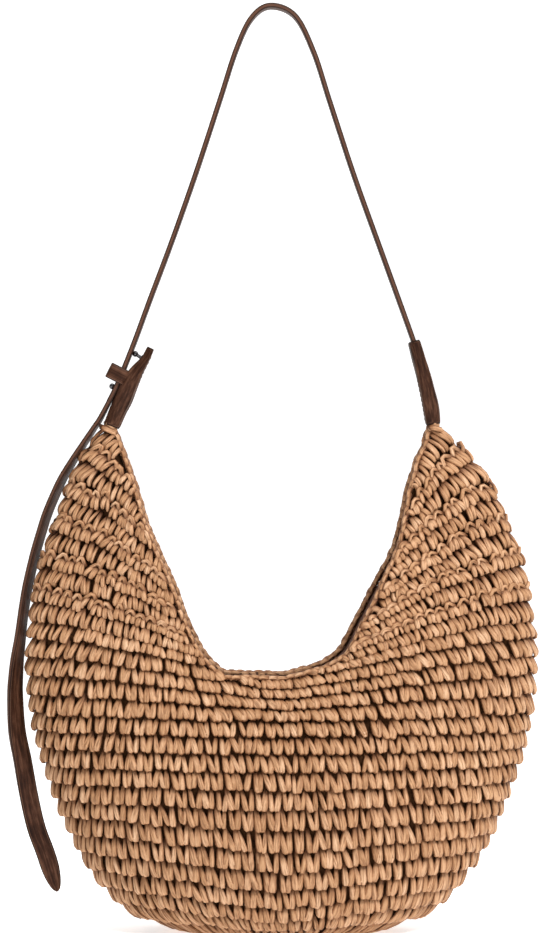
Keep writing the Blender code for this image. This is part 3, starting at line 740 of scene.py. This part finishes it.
def rim_border(name, facing, replaced):
    """Slip stitches along one rim, from tip to tip: one strand outside and one inside for each stitch."""
    share = np.linspace(0.995, -0.995, 1500)
    angle = np.arccos(share) * facing
    height = mouth_height(angle, SLIP_LINE)
    line = face(angle, height) - SLIP_INSET * face_normal(angle, height)
    run = np.concatenate([[0], np.cumsum(np.linalg.norm(np.diff(line, axis=0), axis=1))])
    count = int(run[-1] / SLIP_PITCH)
    at = (np.arange(count) + 0.5) / count * run[-1]
    sets = []
    for side in (1, -1):
        shift = (0.25 if side > 0 else 0.75) * SLIP_PITCH
        s = at[:, None] + shift + SLIP[:, 0] * 0.001 + rng.normal(0, 0.0003, (count, 1))
        s = np.clip(s, 0, run[-1])
        place = np.stack([np.interp(s, run, line[:, k]) for k in range(3)], -1)
        ahead = np.stack([np.interp(s + 0.0005, run, line[:, k]) - np.interp(s - 0.0005, run, line[:, k])
                          for k in range(3)], -1)
        ahead = unit(ahead)
        turn = np.interp(s, run, angle)
        way = face_normal(turn, mouth_height(turn, SLIP_LINE))
        up = unit(np.cross(ahead, way))
        up = up * np.sign(up[..., 2:3] + 1e-9)
        wobble = rng.normal(0, 0.00025, (2, count, 1, 1))
        points = (place + up * (SLIP[:, 1] * 0.001)[None, :, None] + up * wobble[0]
                  + way * side * (SLIP[:, 2] * 0.001)[None, :, None] + way * wobble[1])
        size = np.broadcast_to(SLIP_TAPER, (count, len(SLIP_TAPER)))
        sets.append((points, unit(way * side + 0.5 * up), SLIP_WIDTH * size, SLIP_DEPTH * size))
    paths, normals, widths, depths = joined(sets)
    made = ribbons(name, paths, normals, widths, depths, straw)
    bend_at_tips(made)
    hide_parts(replaced)


# Round each horn's neck, just below the tab: the turn's centre (x, z), its half-width and its half-depth.
LEFT_NECK = [(-0.1355, 0.4034, 0.0046, 0.0042), (-0.1374, 0.4000, 0.0064, 0.0060)]
RIGHT_NECK = [(0.1228, 0.4046, 0.0040, 0.0042), (0.1238, 0.4012, 0.0056, 0.0060)]
NECK_RIBBON = 0.0040


def neck_turns(name, turns, slope):
    """Turns of straw that bind the horn's tip, tilted along the tab."""
    round_it = np.linspace(0, 2 * pi * 0.97, 26)
    paths, normals = [], []
    for x, z, wide, deep in turns:
        start = rng.uniform(2.2, 3.9)
        a = round_it + start
        out = np.stack([np.cos(a), -np.sin(a), 0 * a], -1)
        paths.append(np.stack([x + wide * np.cos(a), -deep * np.sin(a), z + slope * wide * np.cos(a)], -1))
        normals.append(out)
    size = np.full((len(turns), len(round_it)), NECK_RIBBON)
    made = ribbons(name, np.array(paths), np.array(normals), size, size * 0.5, straw)
    bend_at_tips(made)


def wall_ring(angles, tops, share, inset, floor):
    """A ring of a wall at a share of its height, inset from the body's outer face."""
    level = floor + (tops - floor) * share
    inset = np.broadcast_to(inset, level.shape)[:, None]
    return face(angles, level) - inset * face_normal(angles, level)


BACKING_LINE = 0.0048  # from the mouth's edge to the backing's
BACKING_SKINS = ((0.0034, 0.0034), (0.0052, 0.0046))  # inset and lowest level of its outer and inner skin


def shade_backing_sheet():
    """A dark inner layer that closes the gaps between the stitches with painted shade."""
    angles = np.arange(220) * 2 * pi / 220
    tops = mouth_height(angles, BACKING_LINE)
    shares = np.linspace(0, 1, 60) ** 1.1
    outer, inner = ([wall_ring(angles, tops, t, *skin) for t in shares] for skin in BACKING_SKINS)
    made = loft("shade_backing_sheet", outer + inner[::-1], straw_gap_shade)
    bend_at_tips(made)


# ---- lining pieces -------------------------------------------------------------------------------------
def lining_cloth():
    """The cotton bag inside the straw: slack folds, closed at the bottom, a turned edge at the top."""
    count = 160
    angles = np.arange(count) * 2 * pi / count
    tops = np.minimum(mouth_height(angles, LINING_DROP), LINING_TOP)
    rings = []
    shares = np.linspace(0, 1, 46) ** 1.1
    for face_inset, order in ((0.0, 1), (LINING_THICKNESS, -1)):
        rows = []
        for t in shares:
            waves = np.sin(angles * 9 + 5 * t) + 0.6 * np.sin(angles * 21 + 9 * t + 2)
            fold = waves * LINING_FOLD * (1 - t**4)
            inset = LINING_OUTSIDE + face_inset + LINING_EASE + fold
            rows.append(wall_ring(angles, tops, t, inset, LINING_BOTTOM))
        rings += rows[::order]
    made = loft("lining_cloth", rings, cloth)
    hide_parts("lining")
    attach(made, "bag")


def lining_hem():
    """A bias strip sewn round the inside of the mouth, over the lining's edge."""
    for name, facing in (("front_hem", 1), ("back_hem", -1)):
        share = np.linspace(0.90, -0.90, 260)
        angle = np.arccos(share) * facing
        top = mouth_height(angle, HEM_LINE)
        rings = []
        levels = [(0.0, 0.0050), (0.0, 0.0064), (0.5, 0.0070), (1.0, 0.0066), (1.0, 0.0056), (0.5, 0.0056)]
        for drop, inset in levels:
            level = top - HEM_REACH * drop
            rings.append(face(angle, level) - inset * face_normal(angle, level))
        made = loft(name, np.swapaxes(np.array(rings), 0, 1), cloth)
        bend_at_tips(made)


def slip_pocket():
    """A patch pocket with a turned top hem, puffed a little, against the lining's back wall."""
    span = np.linspace(*POCKET_SPAN, 33)
    levels = np.linspace(*POCKET_HEIGHTS, 24)
    near, far = [], []
    for z in levels:
        t = (z - levels[0]) / (levels[-1] - levels[0])
        u = np.linspace(-1, 1, len(span))
        puff = 0.0012 * (1 - u**4) * (0.4 + 0.6 * t)
        hem = 0.0005 * (t > 0.86)
        level = np.full_like(span, z)
        base = LINING_OUTSIDE + 0.0030
        normal = face_normal(span, level)
        skin = face(span, level)
        near.append(skin - normal * (base + puff + hem)[:, None])
        far.append(skin - normal * (base + puff + hem + LINING_THICKNESS)[:, None])
    rings = [np.vstack([a, b[::-1]]) for a, b in zip(near, far, strict=True)]
    made = loft("pocket_cloth", rings, cloth)
    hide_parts("slip_pocket")
    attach(made, "bag")


# ---- leather pieces ------------------------------------------------------------------------------------
def strap_section():
    """A strap's outline as (across, through) in half widths and half thicknesses: two glued layers."""
    side = [(0.955, -1.0), (0.985, -0.80), (0.998, -0.45), (1.0, -0.14), (0.985, 0.0),
            (1.0, 0.14), (0.998, 0.45), (0.985, 0.80), (0.955, 1.0)]
    top = [(0.88, 1.03), (0.85, 0.98), (0.83, 0.90), (0.81, 0.98), (0.75, 1.03), (0.40, 1.05), (0.0, 1.06)]
    top += [(-a, b) for a, b in top[-2::-1]]
    half = side + top
    return np.array(half + [(-a, -b) for a, b in half])


def strap_mesh(name, route, turns, widths, thickness):
    """A strap along a route in XZ; a turn of 0 lays its width along Y."""
    along = unit(np.gradient(route, axis=0))
    section = strap_section()
    rings = []
    for (x, z), (tx, tz), turn, width in zip(route, along, turns, widths, strict=True):
        normal = np.array([-tz, 0, tx])
        across = np.array([0, cos(turn), 0]) + normal * sin(turn)
        out = normal * cos(turn) - np.array([0, sin(turn), 0])
        middle = np.array([x, 0, z])
        rings.append(middle + section[:, :1] * across * width / 2 + section[:, 1:] * out * thickness / 2)
    made = loft(name, rings, leather)
    station = np.repeat(np.arange(len(route)), len(section))
    lane = np.column_stack([np.tile(section, (len(route), 1)), station])
    attribute(made.data, "lane", lane)
    return made


def shoulder_strap():
    count = 300
    route = even(STRAP_ROUTE, count)
    wobble = 1 + 0.05 * np.sin(np.linspace(0, 9, count)) * np.sin(np.linspace(0, 31, count))
    strap = strap_mesh("leather_strap", route, np.zeros(count), STRAP_WIDTH * wobble**0.3, STRAP_THICKNESS)
    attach(strap, "strap")
    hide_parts("shoulder_strap")


def strap_tail():
    route = even(TAIL_ROUTE, 220)
    share = np.linspace(0, 1, len(route))
    length = np.linalg.norm(np.diff(route, axis=0), axis=1).sum()
    turns = smooth(TAIL_TURN, share)
    left = np.clip((1 - share) * length / TAIL_POINT, 0, 1)
    widths = STRAP_WIDTH * (TAIL_TIP + (1 - TAIL_TIP) * np.sqrt(np.clip(1 - (1 - left) ** 2, 0, 1)) ** 1.2)
    tail = strap_mesh("leather_tail", route, turns, widths, STRAP_THICKNESS * TAIL_THINNING)
    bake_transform(tail)
    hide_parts("strap_tail")


def tab_section(half, deep, wall, fold):
    """The outline of a folded tab: closed in front, its two leaves open at the back; fold creases it."""
    round_off = min(half, deep) * 0.62
    bends = 9
    outer, inner = [], []
    for leaf in (1, -1):
        corner = [pi / 2 * k / bends for k in range(bends + 1)]
        arc = [(leaf * (half - round_off + round_off * sin(a)), -deep + round_off - round_off * cos(a))
               for a in corner]
        outer += arc if leaf == 1 else arc[::-1]
        tight = max(round_off - wall, 0.0002)
        arc = [(leaf * (half - wall - tight + tight * sin(a)), -deep + wall + tight - tight * cos(a))
               for a in corner]
        inner += arc if leaf == 1 else arc[::-1]
    turn = bends + 1
    straight = np.linspace(0.15, 0.97, 7)
    right = [(half, -deep + round_off + (2 * deep - round_off) * t) for t in straight]
    left = [(-x, y) for x, y in right[::-1]]
    lip = [(half - wall * 0.25, deep + 0.0001), (half - wall * 0.75, deep + 0.0001)]
    other_lip = [(-x, y) for x, y in lip[::-1]]
    outside = left + outer[turn:] + outer[:turn] + right
    inside_right = [(half - wall, y) for _, y in right[::-1]]
    inside_left = [(-half + wall, y) for _, y in left[::-1]]
    ring = outside + lip + inside_right + inner[:turn][::-1] + inner[turn:][::-1] + inside_left + other_lip
    ring = np.array(ring)
    count = len(outside)
    s = np.arange(count) / count
    crease = 0.00034 * np.sin(2 * pi * 6 * s + fold) + 0.00020 * np.sin(2 * pi * 13 * s + 2.2 * fold)
    ring[:count] *= 1 + (crease / max(half, 0.003))[:, None]
    return ring


def folded_tab(name, stations, replaced, thread_replaced):
    """A tab folded round the strap and the horn's tip, with the stitches that close it."""
    count = 70
    route = even(stations, count)
    along = unit(np.gradient(route[:, :2], axis=0))
    rings, lanes = [], []
    for i, ((x, z, half, deep), (tx, tz)) in enumerate(zip(route, along, strict=True)):
        across = np.array([-tz, 0, tx])
        end = min(i, count - 1 - i)
        pinch = 1 - 0.10 * max(0, 1 - end / 3) ** 2
        wall = min(TAB_WALL, half - 0.0005)
        ring = tab_section(half * pinch, deep * pinch, wall, 0.05 * i)
        lanes.append(ring[:, 0] / half * 0.88)
        rings.append(np.array([x, 0, z]) + ring[:, :1] * across + ring[:, 1:] * np.array([0, 1.0, 0]))
    made = loft(name, rings, leather)
    sides = len(rings[0])
    lane = np.zeros((count, sides, 3))
    lane[..., 0] = np.array(lanes)
    lane[..., 2] = np.arange(count)[:, None]
    lane[:2, :, 0] = lane[-2:, :, 0] = 0.97
    lane[:2, :, 1] = lane[-2:, :, 1] = 0.8
    attribute(made.data, "lane", lane.reshape(-1, 3))
    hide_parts(replaced)
    bend_at_tips(made)
    tab_stitches(f"{name}_stitches", route, thread_replaced)


def tab_stitches(name, route, replaced):
    """Saddle stitches down each leaf, near its open edge."""
    steps = np.linspace(0.10, 0.93, 15)
    paths, ups = [], []
    for leaf in (-1, 1):
        for a in steps:
            points, normals = [], []
            for k in np.linspace(-1, 1, 6):
                x, z, half, deep = [np.interp(a + 0.022 * k, np.linspace(0, 1, len(route)), route[:, c])
                                    for c in range(4)]
                here = int(a * len(route))
                ahead = route[min(here + 1, len(route) - 1), :2] - route[here - 1, :2]
                ahead = ahead / np.linalg.norm(ahead)
                across = np.array([-ahead[1], 0, ahead[0]])
                rise = 0.00030 * (1 - k**4) - 0.00015
                points.append(np.array([x, 0, z]) + across * leaf * (half + rise)
                              + np.array([0, deep - 0.0024, 0]))
                normals.append(across * leaf)
            paths.append(points)
            ups.append(normals)
    paths, ups = np.array(paths), np.array(ups)
    size = np.full(paths.shape[:2], 0.0006)
    made = ribbons(name, paths, ups, size, size, thread)
    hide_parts(replaced)
    bend_at_tips(made)


def keeper():
    """A strip of leather bent round the strap and the tab, rounded at its corners."""
    wide, deep, tall, wall, corner = 0.0152, 0.0196, 0.0124, 0.0013, 0.0026
    turn = Matrix.Translation(KEEPER_PLACE) @ Matrix.Rotation(KEEPER_TILT, 4, "Y")
    around = []
    for cx, cy, first in ((1, 1, 0), (-1, 1, 1), (-1, -1, 2), (1, -1, 3)):
        for a in np.linspace(0, pi / 2, 7):
            b = first * pi / 2 + a
            around.append((cx * (wide / 2 - corner) + corner * cos(b),
                           cy * (deep / 2 - corner) + corner * sin(b), cos(b), sin(b)))
    profile = [(0.0, -1.0), (0.25, -1.02), (0.75, -1.0), (1.0, -0.92), (1.02, -0.5), (1.05, 0.0), (1.02, 0.5),
               (1.0, 0.92), (0.75, 1.0), (0.25, 1.02), (0.0, 1.0)]
    rings, lanes = [], []
    for x, y, nx, ny in around + around[:1]:
        rings.append([turn @ Vector((x + nx * wall * (a - 1), y + ny * wall * (a - 1), b * tall / 2))
                      for a, b in profile])
        lanes += [(b * 0.99, 0.2 + 0.6 * (abs(b) > 0.8), 0) for a, b in profile]
    made = loft("leather_keeper", rings, leather, cap=False)
    attribute(made.data, "lane", np.array(lanes))
    work = bmesh.new()
    work.from_mesh(made.data)
    bmesh.ops.remove_doubles(work, verts=work.verts, dist=1e-6)
    bmesh.ops.recalc_face_normals(work, faces=work.faces)
    work.to_mesh(made.data)
    work.free()
    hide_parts("keeper_loop")
    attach(made, "keeper")


# ---- hardware ------------------------------------------------------------------------------------------
def hardware():
    """The studs, their screws and the snap keep their CAD shapes, in metal."""
    for name in ("upper_stud", "lower_stud", "upper_stud_screw", "lower_stud_screw", "snap_socket",
                 "snap_boss", "snap_socket_washer", "snap_boss_washer"):
        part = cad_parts[name]
        part.data.materials.clear()
        part.data.materials.append(gunmetal)


# ---- stage ---------------------------------------------------------------------------------------------
WORLD_STRENGTH = 0.30
FLOOR_GLOW = 0.60
VIEW_DISTANCE = 2.4
VIEW_HEIGHT = 0.7464  # how much the picture's longer side takes in
VIEW_CENTRE = (-0.0084, 0.3708)


def stage():
    """A pale floor that curves up far behind, and four soft lamps."""
    world = bpy.data.worlds.new("studio")
    bpy.context.scene.world = world
    world.use_nodes = True
    world.node_tree.nodes["Background"].inputs["Color"].default_value = (1.0, 1.0, 1.0, 1.0)
    world.node_tree.nodes["Background"].inputs["Strength"].default_value = WORLD_STRENGTH
    made, _, shader = nodes_of("pale_floor", 0.9)
    shader.inputs["Base Color"].default_value = (0.93, 0.93, 0.93, 1.0)
    shader.inputs["Emission Color"].default_value = (1.0, 1.0, 1.0, 1.0)
    shader.inputs["Emission Strength"].default_value = FLOOR_GLOW
    sweep = [(-9.0, 0.0), (6.0, 0.0)]
    sweep += [(6.0 + 2.0 * sin(a), 2.0 - 2.0 * cos(a)) for a in np.linspace(0, pi / 2, 14)]
    sweep += [(8.0, 9.0)]
    points = np.array([(x, y, z) for y, z in sweep for x in (-12.0, 12.0)])
    low = np.arange(len(sweep) - 1) * 2
    floor = mesh_from("floor", points, np.stack([low, low + 1, low + 3, low + 2], -1))
    new_object("floor", floor, made)
    for name, place, size, power, aim in (
        ("key", (1.1, -1.7, 2.2), 0.7, 66.0, (0.0, 0.0, 0.22)),
        ("fill", (-2.2, -2.2, 1.0), 2.2, 8.0, (0.0, 0.0, 0.25)),
        ("top", (0.0, -0.5, 2.6), 1.0, 22.0, (0.0, 0.0, 0.2)),
        ("rim", (1.6, 1.7, 1.8), 1.6, 18.0, (0.0, 0.0, 0.25)),
    ):
        data = bpy.data.lights.new(name, "AREA")
        data.size = size
        data.energy = power
        lamp = bpy.data.objects.new(name, data)
        lamp.location = place
        lamp.rotation_euler = (Vector(aim) - Vector(place)).to_track_quat("-Z", "Y").to_euler()
        bpy.context.scene.collection.objects.link(lamp)
    bpy.context.scene.view_settings.view_transform = "Standard"


def camera():
    data = bpy.data.cameras.new("camera")
    data.sensor_width = 36.0
    data.lens = data.sensor_width * VIEW_DISTANCE / VIEW_HEIGHT
    made = bpy.data.objects.new("camera", data)
    made.location = (VIEW_CENTRE[0], -VIEW_DISTANCE, VIEW_CENTRE[1])
    made.rotation_euler = (radians(90), 0, 0)
    bpy.context.scene.collection.objects.link(made)
    bpy.context.scene.camera = made


camera()
stage()
crochet_body()
rim_border("front_rim_border", 1, "front_rim_edging")
rim_border("back_rim_border", -1, "back_rim_edging")
neck_turns("straw_left_neck", LEFT_NECK, -0.45)
neck_turns("straw_right_neck", RIGHT_NECK, -0.25)
shade_backing_sheet()
lining_cloth()
lining_hem()
slip_pocket()
shoulder_strap()
strap_tail()
folded_tab("leather_tab_left", LEFT_TAB, "left_tab", "left_tab_thread")
folded_tab("leather_tab_right", RIGHT_TAB, "right_tab", "right_tab_thread")
keeper()
hardware()
